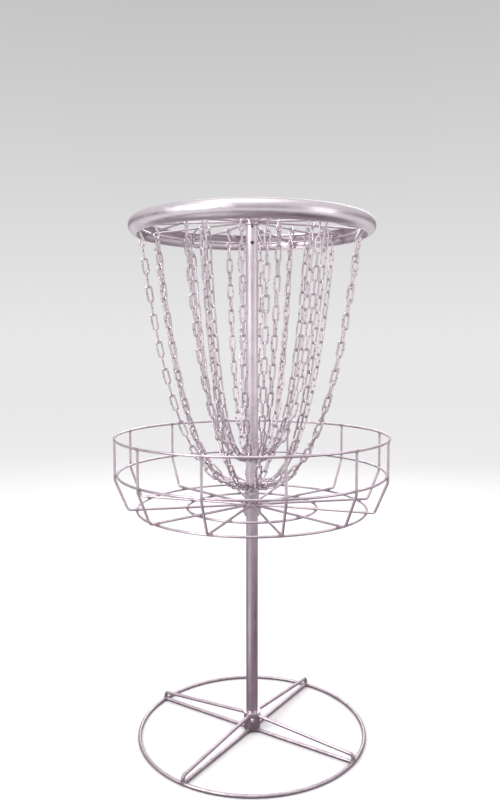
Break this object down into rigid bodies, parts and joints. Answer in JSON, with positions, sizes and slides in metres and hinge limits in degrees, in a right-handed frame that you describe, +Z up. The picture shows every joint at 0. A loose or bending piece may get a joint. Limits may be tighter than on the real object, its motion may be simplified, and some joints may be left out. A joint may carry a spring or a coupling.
{
  "type": "disc golf basket",
  "caption": "Portable disc golf basket: wire tray and double chain cage under a half-round band, on a round pole with a ring stand",
  "frame": {"origin": "middle of the stand, on the floor", "axes": "+Z up along the pole; +X along one rib of the tray; the legs stand at 45 degrees to X and Y"},
  "size_m": [0.7326, 0.7326, 1.399],
  "materials": {
    "galvanised_wire": "zinc-plated wire, satin, with small weld marks",
    "stand_steel": "zinc-plated rod, satin, scuffed where it meets the ground",
    "dark_steel": "blackened steel socket, matt",
    "lower_pole_steel": "darker zinc-plated tube with fine drawn lines",
    "pole_steel": "bright zinc-plated tube with fine drawn lines",
    "band_steel": "roll-formed sheet, satin with a soft highlight",
    "bright_steel": "bright plated fastener",
    "rack_wire": "zinc-plated rod, satin",
    "chain_steel": "zinc-plated welded chain, bright on the rubbed crowns",
    "cap_plastic": "moulded cap, matt"
  },
  "bodies": {
    "stand": {"base_ring": "stand_steel", "leg_1": "stand_steel", "leg_2": "stand_steel", "leg_3": "stand_steel", "leg_4": "stand_steel", "base_socket": "dark_steel", "socket_ring": "pole_steel", "base_foot": "bright_steel"},
    "socket_screw": {"socket_screw": "bright_steel"},
    "pole": {"lower_pole": "lower_pole_steel", "pole_joiner": "bright_steel", "basket_stop": "lower_pole_steel"},
    "basket": {"basket_rim": "galvanised_wire", "basket_middle_ring": "galvanised_wire", "basket_floor_ring": "galvanised_wire", "basket_inner_ring": "galvanised_wire", "basket_ribs": "galvanised_wire", "basket_hub": "pole_steel"},
    "chain_rack": {"pole_coupler": "pole_steel", "upper_pole": "pole_steel", "outer_chain_plate": "pole_steel", "inner_chain_plate": "pole_steel", "rack_hub": "pole_steel", "rack_spokes": "rack_wire", "hanger_wire": "rack_wire", "chain_ring": "rack_wire", "top_band": "band_steel", "pole_cap": "cap_plastic"},
    "clamp_screw": {"clamp_screw": "bright_steel"},
    "outer_chain_1": {"outer_chain_1": "chain_steel"},
    "outer_chain_2": {"outer_chain_2": "chain_steel"},
    "outer_chain_3": {"outer_chain_3": "chain_steel"},
    "outer_chain_4": {"outer_chain_4": "chain_steel"},
    "outer_chain_5": {"outer_chain_5": "chain_steel"},
    "outer_chain_6": {"outer_chain_6": "chain_steel"},
    "outer_chain_7": {"outer_chain_7": "chain_steel"},
    "outer_chain_8": {"outer_chain_8": "chain_steel"},
    "outer_chain_9": {"outer_chain_9": "chain_steel"},
    "outer_chain_10": {"outer_chain_10": "chain_steel"},
    "outer_chain_11": {"outer_chain_11": "chain_steel"},
    "outer_chain_12": {"outer_chain_12": "chain_steel"},
    "inner_chain_1": {"inner_chain_1": "chain_steel"},
    "inner_chain_2": {"inner_chain_2": "chain_steel"},
    "inner_chain_3": {"inner_chain_3": "chain_steel"},
    "inner_chain_4": {"inner_chain_4": "chain_steel"},
    "inner_chain_5": {"inner_chain_5": "chain_steel"},
    "inner_chain_6": {"inner_chain_6": "chain_steel"},
    "inner_chain_7": {"inner_chain_7": "chain_steel"},
    "inner_chain_8": {"inner_chain_8": "chain_steel"},
    "inner_chain_9": {"inner_chain_9": "chain_steel"},
    "inner_chain_10": {"inner_chain_10": "chain_steel"},
    "inner_chain_11": {"inner_chain_11": "chain_steel"},
    "inner_chain_12": {"inner_chain_12": "chain_steel"}
  },
  "joints": [
    {"name": "pole_lift", "type": "slide", "parent": "stand", "child": "pole", "axis": [0, 0, 1], "range_m": [0, 0.08]},
    {"name": "basket_lift", "type": "slide", "parent": "pole", "child": "basket", "axis": [0, 0, 1], "range_m": [0, 0.12]},
    {"name": "rack_lift", "type": "slide", "parent": "basket", "child": "chain_rack", "axis": [0, 0, 1], "range_m": [0, 0.2]},
    {"name": "clamp_screw_turn", "type": "hinge", "parent": "chain_rack", "child": "clamp_screw", "pos_m": [0, 0, 0.6665], "axis": [-0.1736, -0.9848, 0], "continuous": true},
    {"name": "socket_screw_turn", "type": "hinge", "parent": "stand", "child": "socket_screw", "pos_m": [0, 0, 0.038], "axis": [-0.1736, -0.9848, 0], "continuous": true},
    {"name": "outer_swing_1", "type": "hinge", "parent": "chain_rack", "child": "outer_chain_1", "pos_m": [0.03138, -0.00275, 0.686], "axis": [0.3544, -0.031, 0.9346], "range_deg": [-10, 10]},
    {"name": "outer_swing_2", "type": "hinge", "parent": "chain_rack", "child": "outer_chain_2", "pos_m": [0.02855, 0.01331, 0.686], "axis": [0.3225, 0.1504, 0.9346], "range_deg": [-10, 10]},
    {"name": "outer_swing_3", "type": "hinge", "parent": "chain_rack", "child": "outer_chain_3", "pos_m": [0.01807, 0.0258, 0.686], "axis": [0.2041, 0.2915, 0.9346], "range_deg": [-10, 10]},
    {"name": "outer_swing_4", "type": "hinge", "parent": "chain_rack", "child": "outer_chain_4", "pos_m": [0.00275, 0.03138, 0.686], "axis": [0.031, 0.3544, 0.9346], "range_deg": [-10, 10]},
    {"name": "outer_swing_5", "type": "hinge", "parent": "chain_rack", "child": "outer_chain_5", "pos_m": [-0.01331, 0.02855, 0.686], "axis": [-0.1504, 0.3225, 0.9346], "range_deg": [-10, 10]},
    {"name": "outer_swing_6", "type": "hinge", "parent": "chain_rack", "child": "outer_chain_6", "pos_m": [-0.0258, 0.01807, 0.686], "axis": [-0.2915, 0.2041, 0.9346], "range_deg": [-10, 10]},
    {"name": "outer_swing_7", "type": "hinge", "parent": "chain_rack", "child": "outer_chain_7", "pos_m": [-0.03138, 0.00275, 0.686], "axis": [-0.3544, 0.031, 0.9346], "range_deg": [-10, 10]},
    {"name": "outer_swing_8", "type": "hinge", "parent": "chain_rack", "child": "outer_chain_8", "pos_m": [-0.02855, -0.01331, 0.686], "axis": [-0.3225, -0.1504, 0.9346], "range_deg": [-10, 10]},
    {"name": "outer_swing_9", "type": "hinge", "parent": "chain_rack", "child": "outer_chain_9", "pos_m": [-0.01807, -0.0258, 0.686], "axis": [-0.2041, -0.2915, 0.9346], "range_deg": [-10, 10]},
    {"name": "outer_swing_10", "type": "hinge", "parent": "chain_rack", "child": "outer_chain_10", "pos_m": [-0.00275, -0.03138, 0.686], "axis": [-0.031, -0.3544, 0.9346], "range_deg": [-10, 10]},
    {"name": "outer_swing_11", "type": "hinge", "parent": "chain_rack", "child": "outer_chain_11", "pos_m": [0.01331, -0.02855, 0.686], "axis": [0.1504, -0.3225, 0.9346], "range_deg": [-10, 10]},
    {"name": "outer_swing_12", "type": "hinge", "parent": "chain_rack", "child": "outer_chain_12", "pos_m": [0.0258, -0.01807, 0.686], "axis": [0.2915, -0.2041, 0.9346], "range_deg": [-10, 10]},
    {"name": "inner_swing_1", "type": "hinge", "parent": "chain_rack", "child": "inner_chain_1", "pos_m": [0.03102, 0.00547, 0.76], "axis": [0.2251, 0.0397, 0.9735], "range_deg": [-10, 10]},
    {"name": "inner_swing_2", "type": "hinge", "parent": "chain_rack", "child": "inner_chain_2", "pos_m": [0.02413, 0.02025, 0.76], "axis": [0.1751, 0.1469, 0.9735], "range_deg": [-10, 10]},
    {"name": "inner_swing_3", "type": "hinge", "parent": "chain_rack", "child": "inner_chain_3", "pos_m": [0.01077, 0.0296, 0.76], "axis": [0.0782, 0.2148, 0.9735], "range_deg": [-10, 10]},
    {"name": "inner_swing_4", "type": "hinge", "parent": "chain_rack", "child": "inner_chain_4", "pos_m": [-0.00547, 0.03102, 0.76], "axis": [-0.0397, 0.2251, 0.9735], "range_deg": [-10, 10]},
    {"name": "inner_swing_5", "type": "hinge", "parent": "chain_rack", "child": "inner_chain_5", "pos_m": [-0.02025, 0.02413, 0.76], "axis": [-0.1469, 0.1751, 0.9735], "range_deg": [-10, 10]},
    {"name": "inner_swing_6", "type": "hinge", "parent": "chain_rack", "child": "inner_chain_6", "pos_m": [-0.0296, 0.01077, 0.76], "axis": [-0.2148, 0.0782, 0.9735], "range_deg": [-10, 10]},
    {"name": "inner_swing_7", "type": "hinge", "parent": "chain_rack", "child": "inner_chain_7", "pos_m": [-0.03102, -0.00547, 0.76], "axis": [-0.2251, -0.0397, 0.9735], "range_deg": [-10, 10]},
    {"name": "inner_swing_8", "type": "hinge", "parent": "chain_rack", "child": "inner_chain_8", "pos_m": [-0.02413, -0.02025, 0.76], "axis": [-0.1751, -0.1469, 0.9735], "range_deg": [-10, 10]},
    {"name": "inner_swing_9", "type": "hinge", "parent": "chain_rack", "child": "inner_chain_9", "pos_m": [-0.01077, -0.0296, 0.76], "axis": [-0.0782, -0.2148, 0.9735], "range_deg": [-10, 10]},
    {"name": "inner_swing_10", "type": "hinge", "parent": "chain_rack", "child": "inner_chain_10", "pos_m": [0.00547, -0.03102, 0.76], "axis": [0.0397, -0.2251, 0.9735], "range_deg": [-10, 10]},
    {"name": "inner_swing_11", "type": "hinge", "parent": "chain_rack", "child": "inner_chain_11", "pos_m": [0.02025, -0.02413, 0.76], "axis": [0.1469, -0.1751, 0.9735], "range_deg": [-10, 10]},
    {"name": "inner_swing_12", "type": "hinge", "parent": "chain_rack", "child": "inner_chain_12", "pos_m": [0.0296, -0.01077, 0.76], "axis": [0.2148, -0.0782, 0.9735], "range_deg": [-10, 10]}
  ]
}
